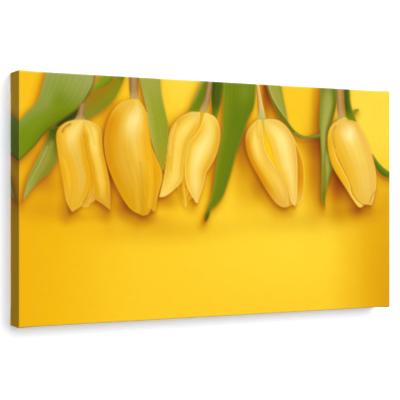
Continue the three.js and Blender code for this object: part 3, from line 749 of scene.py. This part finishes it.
def makePine(name, lengthwise):
    material, tree, shader = startMaterial(name)
    place = addNode(tree, "TexCoord")
    turn = (0, 0, 0) if lengthwise == "X" else (0, math.pi / 2, 0)
    # X now runs along the bar
    board = addNode(tree, "Mapping", {"Rotation": turn}, {0: place.outputs["Object"]})
    apart = addNode(tree, "SeparateXYZ", {}, {0: board.outputs[0]})
    # each length of timber between two finger joints is another piece of wood
    teeth = addNode(tree, "Math", {"operation": "PINGPONG", 1: pineLook["jointTooth"] * mm},
                    {0: apart.outputs["Z"]})
    reach = addNode(tree, "Math", {"operation": "MULTIPLY_ADD", 1: pineLook["toothSlope"]},
                    {0: teeth.outputs[0], 2: apart.outputs["X"]})
    count = addNode(tree, "Math", {"operation": "DIVIDE", 1: pineLook["jointStep"] * mm},
                    {0: reach.outputs[0]})
    piece = addNode(tree, "Math", {"operation": "FLOOR"}, {0: count.outputs[0]})
    inPiece = addNode(tree, "Math", {"operation": "FRACT"}, {0: count.outputs[0]})
    seam = addNode(tree, "Math",
                   {"operation": "LESS_THAN", 1: pineLook["seamWide"] / pineLook["jointStep"]},
                   {0: inPiece.outputs[0]})
    shift = addNode(tree, "Math", {"operation": "MULTIPLY", 1: 0.137}, {0: piece.outputs[0]})
    offset = addNode(tree, "CombineXYZ", {}, {0: shift.outputs[0], 1: shift.outputs[0], 2: shift.outputs[0]})
    wood = addNode(tree, "VectorMath", {"operation": "ADD"}, {0: board.outputs[0], 1: offset.outputs[0]})
    slow = addNode(tree, "Mapping", {"Scale": (3, 22, 22)}, {0: wood.outputs[0]})
    bend = addNode(tree, "TexNoise", {"Scale": 1.0, "Detail": 2}, {"Vector": slow.outputs[0]})
    knots = addNode(tree, "TexVoronoi", {"Scale": 1 / (pineLook["knotStep"] * mm), "Randomness": 1.0},
                    {"Vector": wood.outputs[0]})
    swirl = addNode(tree, "MapRange", {1: 0.0, 2: 0.28, 3: 3.4, 4: 0.0}, {0: knots.outputs["Distance"]})
    across = addNode(tree, "SeparateXYZ", {}, {0: wood.outputs[0]})
    ringPlace = addNode(tree, "Math", {"operation": "MULTIPLY_ADD", 1: pineLook["ringTilt"]},
                        {0: across.outputs["Y"], 2: across.outputs["Z"]})
    rings = addNode(tree, "Math", {"operation": "DIVIDE", 1: pineLook["ringStep"] * mm},
                    {0: ringPlace.outputs[0]})
    wavy = addNode(tree, "Math", {"operation": "MULTIPLY_ADD", 1: pineLook["waviness"]},
                   {0: bend.outputs[0], 2: rings.outputs[0]})
    ringed = addNode(tree, "Math", {"operation": "ADD"}, {0: wavy.outputs[0], 1: swirl.outputs[0]})
    phase = addNode(tree, "Math", {"operation": "FRACT"}, {0: ringed.outputs[0]})
    fibreMap = addNode(tree, "Mapping", {"Scale": (28, 1500, 1500)}, {0: board.outputs[0]})
    fibres = addNode(tree, "TexNoise", {"Scale": 1.0, "Detail": 3, "Roughness": 0.65},
                     {"Vector": fibreMap.outputs[0]})
    early, late = pineLook["early"], pineLook["late"]
    grainStops = [(0.0, early), (0.55, "#e2c08a"), (0.84, late), (0.96, "#d8ab70"), (1.0, early)]
    grain = addNode(tree, "ValToRGB", {"stops": grainStops}, {0: phase.outputs[0]})
    tint = addNode(tree, "MapRange", {1: 0.3, 2: 0.7, 3: 0.86, 4: 1.08}, {0: fibres.outputs[0]})
    toned = addNode(tree, "VectorMath", {"operation": "SCALE"},
                    {0: grain.outputs[0], "Scale": tint.outputs[0]})
    knotShare = addNode(tree, "MapRange", {1: 0.075, 2: 0.045, 3: 0.0, 4: 0.85},
                        {0: knots.outputs["Distance"]})
    knotted = addNode(tree, "Mix", {"data_type": "RGBA", 7: linearColour(pineLook["knot"])},
                      {0: knotShare.outputs[0], 6: toned.outputs[0]})
    seamShare = addNode(tree, "Math", {"operation": "MULTIPLY", 1: 0.5}, {0: seam.outputs[0]})
    joined = addNode(tree, "Mix", {"data_type": "RGBA", 7: linearColour(pineLook["seam"])},
                     {0: seamShare.outputs[0], 6: knotted.outputs[2]})
    gloss = addNode(tree, "MapRange", {3: 0.55, 4: 0.75}, {0: fibres.outputs[0]})
    relief = addNode(tree, "Bump", {"Strength": 0.5, "Distance": 0.0003}, {"Height": fibres.outputs[0]})
    setNode(tree, shader, {"IOR": 1.5},
            {"Base Color": joined.outputs[2], "Roughness": gloss.outputs[0], "Normal": relief.outputs[0]})
    return material


# sawn beech: an even pinkish brown with short dark rays 2 to 4 mm long, rougher than the planed bars
def makeBeech():
    material, tree, shader = startMaterial("sawn beech")
    place = addNode(tree, "TexCoord")
    rayMap = addNode(tree, "Mapping", {"Scale": (330, 900, 1400)}, {0: place.outputs["Object"]})
    rays = addNode(tree, "TexNoise", {"Scale": 1.0, "Detail": 2}, {"Vector": rayMap.outputs[0]})
    broad = addNode(tree, "TexNoise", {"Scale": 60, "Detail": 3}, {"Vector": place.outputs["Object"]})
    both = addNode(tree, "Math", {"operation": "MULTIPLY_ADD", 1: 0.4},
                   {0: broad.outputs[0], 2: rays.outputs[0]})
    colour = addNode(tree, "ValToRGB", {"stops": [(0.45, "#96613a"), (0.6, "#c2905f"), (0.85, "#d4a877")]},
                     {0: both.outputs[0]})
    relief = addNode(tree, "Bump", {"Strength": 0.6, "Distance": 0.0003}, {"Height": rays.outputs[0]})
    gloss = addNode(tree, "MapRange", {3: 0.6, 4: 0.8}, {0: broad.outputs[0]})
    setNode(tree, shader, {"IOR": 1.5},
            {"Base Color": colour.outputs[0], "Roughness": gloss.outputs[0], "Normal": relief.outputs[0]})
    return material


metalLooks = {
    # drawn and galvanised: a bright grey metal with a faint spangle and a soft sheen
    "galvanised steel wire": {
        "low": "#8e9297", "high": "#c6c9cc", "spot": 1.2, "gloss": (0.26, 0.45), "pit": 0.00003,
    },
    # stamped strip, brass plated: a yellow metal, bright where the strip was rolled and dull in the blotches
    "brass plated steel": {
        "low": "#a27a2c", "high": "#d9b45c", "spot": 3.5, "gloss": (0.24, 0.5), "pit": 0.00004,
    },
}


def makeMetal(name):
    look = metalLooks[name]
    material, tree, shader = startMaterial(name)
    place = addNode(tree, "TexCoord")
    spots = addNode(tree, "TexNoise", {"Scale": 1 / (look["spot"] * mm), "Detail": 5, "Roughness": 0.6},
                    {"Vector": place.outputs["Object"]})
    colour = addNode(tree, "ValToRGB", {"stops": [(0.35, look["low"]), (0.65, look["high"])]},
                     {0: spots.outputs[0]})
    gloss = addNode(tree, "MapRange", {1: 0.35, 2: 0.65, 3: look["gloss"][1], 4: look["gloss"][0]},
                    {0: spots.outputs[0]})
    relief = addNode(tree, "Bump", {"Strength": 0.4, "Distance": look["pit"]}, {"Height": spots.outputs[0]})
    setNode(tree, shader, {"Metallic": 1},
            {"Base Color": colour.outputs[0], "Roughness": gloss.outputs[0], "Normal": relief.outputs[0]})
    return material


# moulded rubber: charcoal with a fine pebbled skin that scatters the light, darker down in the pits of the
# pebbles, and a little dust in soft patches
def makeRubber():
    material, tree, shader = startMaterial("moulded rubber")
    place = addNode(tree, "TexCoord")
    pebbles = addNode(tree, "TexVoronoi", {"Scale": 1 / (0.7 * mm)}, {"Vector": place.outputs["Object"]})
    dust = addNode(tree, "TexNoise", {"Scale": 1 / (4 * mm), "Detail": 4},
                   {"Vector": place.outputs["Object"]})
    both = addNode(tree, "Math", {"operation": "MULTIPLY"},
                   {0: pebbles.outputs["Distance"], 1: dust.outputs[0]})
    colour = addNode(tree, "ValToRGB", {"stops": [(0.05, "#232325"), (0.5, "#3f3f42")]}, {0: both.outputs[0]})
    gloss = addNode(tree, "MapRange", {3: 0.65, 4: 0.85}, {0: dust.outputs[0]})
    relief = addNode(tree, "Bump", {"Strength": 0.5, "Distance": 0.0001},
                     {"Height": pebbles.outputs["Distance"]})
    setNode(tree, shader, {"IOR": 1.52},
            {"Base Color": colour.outputs[0], "Roughness": gloss.outputs[0], "Normal": relief.outputs[0]})
    return material


# the sheet of canvas, in millimetres. Its flat pattern is measured from the face's top left corner: s to the
# right, t down. Outside the face it goes on over the sides and onto the back, as it was cut.
sheetCut = {
    "flap": 24,  # width that is folded onto the back and stapled
    "thick": 0.4,
    "frontRadius": 2.0,  # where it turns over the rounded rim of the bars
    "backRadius": 1.0,
    "mirror": 0.3,  # mm of the picture's mirrored edge for each mm of side, so it is stretched there
    "foldWearAndHighlight": 0.16,  # the ink is stretched thin over the front edge, with a painted highlight of that rounded edge: a paler line
    "bleed": 9,  # print that runs onto the back before the plain primed canvas starts
    "primedHex": "#f1eee6",
    "inkGain": 0.84,  # the inks are this much darker than they look on the brightly lit face
    "inkVeil": 0.008,  # what the varnish's gloss adds to every colour, so it is taken off the ink
    "foldRise": 0.9,  # how far the tucked cloth lifts the layer over it
    "riseRun": 24,  # the cloth climbs onto the fold over this length
    "edgeShare": 0.55,  # what is left of that rise at the very edge, where the layer turns into the fold
    "backShare": 0.5,  # and on the back, where staples press it flat
    "crease": 0.35,  # how far the folded edge stands out past the side
    "sag": 0.6,  # how far the face dips between the bars
    "sagStart": 30,  # mm in from the edges
    "sagFull": (150, 130),  # mm in from the side and from the top or bottom
    "pull": 0.22,  # how far the cloth is drawn in beside a staple
    "pullStart": 8,  # mm behind the face
    "staplePitch": 60,
}
# how finely it is divided: the print is painted on its points, so they lie 1.4 mm apart among the flowers
sheetGrid = {
    "turnSteps": 4,  # over half of the front fold
    "flapSteps": 14,
    "sideSteps": 22,
    "backFoldSteps": 2,
    "columns": 400,
    "flowerTall": 214,  # the rows are close down to here, below the flowers, and wide in the plain part
    "flowerRows": 136,
    "plainRows": 32,
    "foldKeep": 2,  # the back of the cloth uses every second line at the folds
    "faceKeep": 8,  # and every eighth one elsewhere
}
canvasLow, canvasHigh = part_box("printed_canvas")
faceWide = (canvasHigh.x - canvasLow.x) / mm
faceTall = (canvasHigh.z - canvasLow.z) / mm
sideDeep = (canvasHigh.y - canvasLow.y) / mm


def evenly(first, last, count):
    return list(np.linspace(first, last, count + 1)[1:])


def sheetLines(size, middle):
    # grid lines across the sheet, closer at the folds, and the numbers of those that the back uses too
    grid = sheetGrid
    turn = evenly(0, sheetCut["frontRadius"], grid["turnSteps"])
    band = turn + evenly(turn[-1], sheetCut["flap"], grid["flapSteps"])
    backFold = sideDeep - sheetCut["backRadius"]
    side = turn + evenly(turn[-1], backFold, grid["sideSteps"])
    side += evenly(backFold, sideDeep, grid["backFoldSteps"])
    outside = side + [sideDeep + step for step in band]
    lines = [-d for d in reversed(outside)] + [0] + band
    lead = len(lines) - 1
    inner = []
    for end, count in middle:
        inner += evenly((inner or [sheetCut["flap"]])[-1], end, count)
    after = [size - d for d in reversed([0] + band[:-1])] + [size + d for d in outside]
    last = lead + len(inner)
    keep = [*range(0, lead, grid["foldKeep"]), *range(lead, last, grid["faceKeep"])]
    keep += range(last, last + lead + 1, grid["foldKeep"])
    return np.array(lines + inner + after), keep


def lean(e):
    # how far out from the side a point lies that is e beyond the edge of the face, measured along the cloth
    front, back = sheetCut["frontRadius"], sheetCut["backRadius"]
    turn = np.clip((e + front) / (2 * front), 0, 1) * math.pi / 2
    fold = np.clip((e - sideDeep + back) / (2 * back), 0, 1) * math.pi / 2
    onFace = np.where(e < -front, e, -front + front * np.sin(turn))
    return np.where(e > sideDeep + back, sideDeep - e, onFace - back * (1 - np.cos(fold)))


def sink(e):
    # and how far behind the face
    front, back = sheetCut["frontRadius"], sheetCut["backRadius"]
    turn = np.clip((e + front) / (2 * front), 0, 1) * math.pi / 2
    fold = np.clip((e - sideDeep + back) / (2 * back), 0, 1) * math.pi / 2
    early = np.where(e < front, front * (1 - np.cos(turn)), e)
    return np.where(e > sideDeep - back, sideDeep - back + back * np.sin(fold), early)


def foldSheet(s, t):
    # a box fold: over each corner the spare cloth is folded once along its diagonal and tucked under the
    # top or bottom, so that the left and right sides stay smooth
    ex, ez = np.maximum(-s, s - faceWide), np.maximum(-t, t - faceTall)
    corner = -lean(np.zeros(1))[0]  # how far the front fold cuts in at the face's edge
    tuckX = np.where(ex < sheetCut["frontRadius"], lean(np.maximum(ex, 0)), 0)
    tuckZ = np.where(ez < sheetCut["frontRadius"], lean(np.maximum(ez, 0)), 0)
    gapX, gapZ = -tuckX / corner, -tuckZ / corner  # 1 at the face's edge and 0 where the side is flat
    low = sink(np.zeros(1))[0]  # and how far back it lies there
    onFace = (ex <= 0) & (ez <= 0)
    side = (ex > 0) & (ez <= 0)
    top = (ez > 0) & (ex <= 0)
    under = (ex > 0) & (ez > 0) & (ez <= ex)
    out = np.select([onFace | side, top, under],
                    [lean(ex), ex + (lean(ex) - ex) * gapZ, tuckX - ez], tuckZ - ex)
    up = np.select([onFace, side, top, under],
                   [lean(ez), ez + (lean(ez) - ez) * gapX, lean(ez), lean(ex)], lean(ez))
    deep = np.select([onFace, side, top, under],
                     [sink(ex) + sink(ez), sink(ex) + sink(ez) * gapX, sink(ez) + sink(ex) * gapZ,
                      sink(ex) + low * gapX], sink(ez) + low * gapZ)
    # the top layer lies over the tucked ones
    rise = sheetCut["foldRise"] * ramp(-sheetCut["riseRun"], -1, ez + np.minimum(out, 0)) * (ez > 0)
    rise = rise * np.where(ez > sideDeep, sheetCut["backShare"], 1)
    atEdge = ex > -0.3
    rise = np.where(top, np.where(atEdge, sheetCut["edgeShare"] * rise, rise), 0)
    out = out + np.where(top & atEdge, sheetCut["crease"] * ramp(0.5, 4, ez), 0)
    onBack = np.clip((ez - sideDeep + 1) / 2, 0, 1)
    up = up + rise * (1 - onBack) * ramp(0, 3, ez)
    deep = deep + rise * onBack
    # tension: the face dips a little between the bars, and the sides are drawn in beside each staple
    start, (fullX, fullZ) = sheetCut["sagStart"], sheetCut["sagFull"]
    dip = ramp(start, fullX, -ex) * ramp(start, fullZ, -ez)
    deep = deep + np.where(onFace, sheetCut["sag"] * dip, 0)
    runX, runZ = s - faceWide / 2, t - faceTall / 2
    drawn = sheetCut["pull"] * ramp(sheetCut["pullStart"], sideDeep, np.maximum(ex, ez))
    turn = math.pi / sheetCut["staplePitch"]
    out = out - np.where(side & (ex < sideDeep), drawn * np.cos(turn * runZ) ** 2, 0)
    up = up - np.where(top & (ez < sideDeep), drawn * np.sin(turn * runX) ** 2, 0)
    # the cut edge of the flap wanders a little, as scissors leave it
    wander = 0.5 * np.sin(0.11 * runX + 0.07 * runZ) + 0.35 * np.sin(0.31 * runX - 0.23 * runZ)
    out = out - np.where(side & (ex > sideDeep), wander * (ex - sideDeep) / sheetCut["flap"], 0)
    up = up - np.where(top & (ez > sideDeep), wander * (ez - sideDeep) / sheetCut["flap"], 0)
    x = (np.sign(runX) * (faceWide / 2 + out) + faceWide / 2) * mm + canvasLow.x
    z = canvasHigh.z - (np.sign(runZ) * (faceTall / 2 + up) + faceTall / 2) * mm
    return np.stack([x, canvasLow.y + deep * mm, z], -1)


def inkColours(s, t):
    # the picture is mirrored over the face's edges onto the sides, and ends a little way onto the back
    far = sheetCut["mirror"]
    mirrorS = np.where(s < 0, -far * s, np.where(s > faceWide, faceWide - far * (s - faceWide), s))
    mirrorT = np.where(t < 0, -far * t, np.where(t > faceTall, faceTall - far * (t - faceTall), t))
    colour = paintPicture(np.stack([mirrorS.ravel(), mirrorT.ravel()], 1))
    beyond = np.maximum(np.maximum(-s, s - faceWide), np.maximum(-t, t - faceTall)).ravel()
    plain = np.clip(beyond - sideDeep - sheetCut["bleed"], 0, 1)
    # a paler line along the front fold all round: ink stretched thin there, and a painted highlight of the
    # rounded edge
    colour = mix(colour, np.ones(3), sheetCut["foldWearAndHighlight"] * bump(-0.6, 0.9, beyond))
    ink = np.maximum(sheetCut["inkGain"] * toLinear(colour) - sheetCut["inkVeil"], 0.001)
    return mix(ink, toLinear(hexToRgb(sheetCut["primedHex"])), plain)


def sheetCells(rows, columns, lineRows, lineColumns):
    # the cells between these grid lines, without the flaps' corners, which are trimmed off to lie flat
    tiny = 1e-6
    found = []
    for top, bottom in zip(lineRows, lineRows[1:]):
        for left, right in zip(lineColumns, lineColumns[1:]):
            ex = max(-columns[left], columns[right] - faceWide)
            ez = max(-rows[top], rows[bottom] - faceTall)
            if min(ex, ez) <= tiny or max(ex, ez) <= sideDeep + tiny:
                onFold = abs(ex - ez) < tiny and min(ex, ez) > 0
                sameWay = (columns[left] < 0) == (rows[top] < 0)
                found.append((top, bottom, left, right, onFold, sameWay))
    return found


def cellFaces(a, b, c, d, onFold, sameWay):
    # a, b, c and d go round the cell from its top left; a cell on the corner's fold is split along it
    if not onFold:
        return [(a, d, c, b)]
    return [(a, d, c), (a, c, b)] if sameWay else [(a, d, b), (b, d, c)]


def makeSheet():
    faceEnd, tallEnd = faceWide - sheetCut["flap"], faceTall - sheetCut["flap"]
    columns, keptColumns = sheetLines(faceWide, [(faceEnd, sheetGrid["columns"])])
    rows, keptRows = sheetLines(faceTall, [(sheetGrid["flowerTall"], sheetGrid["flowerRows"]),
                                           (tallEnd, sheetGrid["plainRows"])])
    s, t = np.meshgrid(columns, rows)
    place = foldSheet(s, t)
    run = np.cross(np.gradient(place, axis=0), np.gradient(place, axis=1))
    normal = run / np.maximum(np.linalg.norm(run, axis=-1, keepdims=True), 1e-12)
    if normal[len(rows) // 2, len(columns) // 2, 1] > 0:
        normal = -normal  # it points away from the bars
    across, down = len(columns), len(rows)
    faces = []
    for top, bottom, left, right, *split in sheetCells(rows, columns, range(down), range(across)):
        a, b = top * across + left, top * across + right
        c, d = bottom * across + right, bottom * across + left
        faces += cellFaces(a, b, c, d, *split)
    printedCount = len(faces)
    # the back of the cloth, and the cut edges that join it to the front
    backPlace = place - normal * sheetCut["thick"] * mm
    backIndex = {}

    def backVertex(row, column):
        return backIndex.setdefault((row, column), down * across + len(backIndex))

    coarse = sheetCells(rows, columns, keptRows, keptColumns)
    present = {(top, left) for top, bottom, left, *split in coarse}
    rowBefore = dict(zip(keptRows[1:], keptRows))
    columnBefore = dict(zip(keptColumns[1:], keptColumns))
    for top, bottom, left, right, *split in coarse:
        a, b = backVertex(top, left), backVertex(top, right)
        c, d = backVertex(bottom, right), backVertex(bottom, left)
        # turned over, with its first point still first
        faces += [(face[0], *face[:0:-1]) for face in cellFaces(a, b, c, d, *split)]
        if (rowBefore.get(top), left) not in present:
            faces.append((*(top * across + i for i in range(left, right + 1)), b, a))
        if (bottom, left) not in present:
            faces.append((*(bottom * across + i for i in range(right, left - 1, -1)), d, c))
        if (top, columnBefore.get(left)) not in present:
            faces.append((*(i * across + left for i in range(bottom, top - 1, -1)), a, d))
        if (top, right) not in present:
            faces.append((*(i * across + right for i in range(top, bottom + 1)), c, b))
    pick = np.array(list(backIndex))
    points = np.vstack([place.reshape(-1, 3), backPlace[pick[:, 0], pick[:, 1]]])
    flatS = np.concatenate([s.ravel(), columns[pick[:, 1]]])
    flatT = np.concatenate([t.ravel(), rows[pick[:, 0]]])
    # the points of the trimmed corners go
    used = np.zeros(len(points), bool)
    used[[corner for face in faces for corner in face]] = True
    number = (np.cumsum(used) - 1).tolist()
    faces = [tuple(number[corner] for corner in face) for face in faces]
    return points[used], faces, printedCount, flatS[used], flatT[used]


def addMaps(mesh, flatS, flatT, isBack):
    corners = np.zeros(len(mesh.loops), np.int32)
    mesh.loops.foreach_get("vertex_index", corners)
    # in metres on the flat sheet, for the weave
    sheetMap = mesh.uv_layers.new(name="sheet")
    onSheet = np.stack([flatS, flatT], 1)[corners] * mm
    sheetMap.data.foreach_set("uv", onSheet.astype(np.float32).ravel())
    # for a baked copy: the printed side has most of the map, the back a strip along its lower edge
    edge = 0.004
    strip = 0.14
    margin = sideDeep + sheetCut["flap"]
    shareS = (flatS + margin) / (faceWide + 2 * margin)
    shareT = 1 - (flatT + margin) / (faceTall + 2 * margin)
    share = (edge + (1 - 2 * edge) * np.stack([shareS, shareT], 1))[corners]
    counts = np.zeros(len(isBack), np.int32)
    mesh.polygons.foreach_get("loop_total", counts)
    backCorner = np.repeat(isBack, counts)
    share[:, 1] = np.where(backCorner, strip * share[:, 1], strip + 0.01 + (0.99 - strip) * share[:, 1])
    bakeMap = mesh.uv_layers.new(name="OFBake")
    bakeMap.data.foreach_set("uv", share.astype(np.float32).ravel())


def makeCanvas():
    points, faces, printedCount, flatS, flatT = makeSheet()
    print("sheet folded:", len(faces), "faces")
    mesh = bpy.data.meshes.new("stretched canvas")
    mesh.from_pydata(points.tolist(), [], faces)
    mesh.materials.append(makePrintedCanvas())
    mesh.materials.append(makeRawCanvas())
    isBack = np.arange(len(faces)) >= printedCount
    mesh.polygons.foreach_set("material_index", isBack.astype(np.int32))
    mesh.polygons.foreach_set("use_smooth", np.ones(len(faces), bool))
    ink = np.ones((len(points), 4), np.float32)
    ink[:, :3] = inkColours(flatS, flatT)
    mesh.color_attributes.new("print", "FLOAT_COLOR", "POINT").data.foreach_set("color", ink.ravel())
    addMaps(mesh, flatS, flatT, isBack)
    mesh.update()
    return addObject("stretched_canvas", mesh)


canvas = makeCanvas()
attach(canvas, "root")
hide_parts("printed_canvas")
print("canvas made:", len(canvas.data.polygons), "faces")

pineAcross = makePine("planed pine, level bars", "X")
pineUpright = makePine("planed pine, upright bars", "Z")
finishes = {
    "stretcher_bar_top": pineAcross,
    "stretcher_bar_bottom": pineAcross,
    "stretcher_bar_left": pineUpright,
    "stretcher_bar_right": pineUpright,
    "corner_key": makeBeech(),
    "staple": makeMetal("galvanised steel wire"),
    "sawtooth_hanger": makeMetal("brass plated steel"),
    "wall_pad": makeRubber(),
}
finishes["hanger_nail"] = finishes["sawtooth_hanger"]
for name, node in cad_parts.items():
    for start, material in finishes.items():
        if name.startswith(start):
            node.data.materials.clear()
            node.data.materials.append(material)
print("finishes given")

# a white wall that only shows from the front, a pale floor, and soft light
stageLook = {
    "wallHex": "#f4f8ff",
    "wallLift": 0.11,  # light of the wall's own, which keeps the shade beside the picture pale
    "floorHex": "#f2f1ee",
    "floorDrop": 1.1,  # metres below the picture
    "reach": 25,  # metres to each side
    "fill": 0.29,
    "keyFrom": (0.2, -1.0, 0.27),
    "keyPower": 3.55,
    "keySpread": 54,  # degrees, which is what makes its shadows soft
    "topPower": 1.25,
    "backPower": 34,
    "backStand": (0.25, 2.1, 0.75),
}


def makePaint(name, code, ownLight=0.0, clearFromBehind=False):
    # matt emulsion put on with a roller: a very fine orange peel
    material, tree, shader = startMaterial(name)
    place = addNode(tree, "TexCoord")
    peel = addNode(tree, "TexNoise", {"Scale": 250, "Detail": 2}, {"Vector": place.outputs["Object"]})
    relief = addNode(tree, "Bump", {"Strength": 0.1, "Distance": 0.0002}, {"Height": peel.outputs[0]})
    setNode(tree, shader,
            {"Base Color": linearColour(code), "Roughness": 0.9, "Specular IOR Level": 0.1,
             "Emission Color": linearColour("#ffffff"), "Emission Strength": ownLight},
            {"Normal": relief.outputs[0]})
    if clearFromBehind:
        side = addNode(tree, "NewGeometry")
        clear = addNode(tree, "BsdfTransparent")
        both = addNode(tree, "MixShader", {},
                       {0: side.outputs["Backfacing"], 1: shader.outputs[0], 2: clear.outputs[0]})
        tree.links.new(both.outputs[0], tree.nodes["Material Output"].inputs["Surface"])
    return material


def makePlane(name, corners, material):
    mesh = bpy.data.meshes.new(name)
    mesh.from_pydata(corners, [], [(0, 1, 2, 3)])
    mesh.materials.append(material)
    made = addObject(name, mesh)
    return made


def makeStage(look):
    reach, floor = look["reach"], cadLow.z - look["floorDrop"]
    back = cadHigh.y + 0.5 * mm
    wallPaint = makePaint("matt wall emulsion", look["wallHex"], look["wallLift"], True)
    wallCorners = [(-reach, back, floor), (reach, back, floor), (reach, back, reach), (-reach, back, reach)]
    wall = makePlane("wall", wallCorners, wallPaint)
    # the wall only shows: it throws no light or shade on the print, which keeps the back bright too
    wall.visible_diffuse = False
    wall.visible_glossy = False
    wall.visible_shadow = False
    wall.visible_transmission = False
    floorCorners = [(-reach, -reach, floor), (reach, -reach, floor), (reach, reach, floor),
                    (-reach, reach, floor)]
    floorPlane = makePlane("floor", floorCorners, makePaint("matt floor emulsion", look["floorHex"]))
    floorPlane.visible_diffuse = False


def makeLight(look):
    key = bpy.data.lights.new("key", "SUN")
    key.energy = look["keyPower"]
    key.angle = math.radians(look["keySpread"])
    keyLamp = addObject("key", key)
    keyLamp.rotation_euler = Vector(look["keyFrom"]).to_track_quat("Z", "Y").to_euler()
    # straight down, so it reaches only the floor and the top of the print
    top = bpy.data.lights.new("top", "SUN")
    top.energy = look["topPower"]
    top.angle = math.radians(20)
    addObject("top", top)
    back = bpy.data.lights.new("back", "AREA")
    back.energy = look["backPower"]
    back.size = 1.6
    backLamp = addObject("back", back)
    backLamp.location = look["backStand"]
    middle = (cadLow + cadHigh) / 2
    backLamp.rotation_euler = (backLamp.location - middle).to_track_quat("Z", "Y").to_euler()
    world = bpy.data.worlds.new("soft room")
    bpy.context.scene.world = world
    world.use_nodes = True
    tree = world.node_tree
    sight = addNode(tree, "LightPath")
    bright = addNode(tree, "Math", {"operation": "MULTIPLY_ADD", 1: 1 - look["fill"], 2: look["fill"]},
                     {0: sight.outputs["Is Camera Ray"]})
    tree.nodes["Background"].inputs["Color"].default_value = (1, 1, 1, 1)
    tree.links.new(bright.outputs[0], tree.nodes["Background"].inputs["Strength"])


makeStage(stageLook)
makeLight(stageLook)
print("stage and light made")
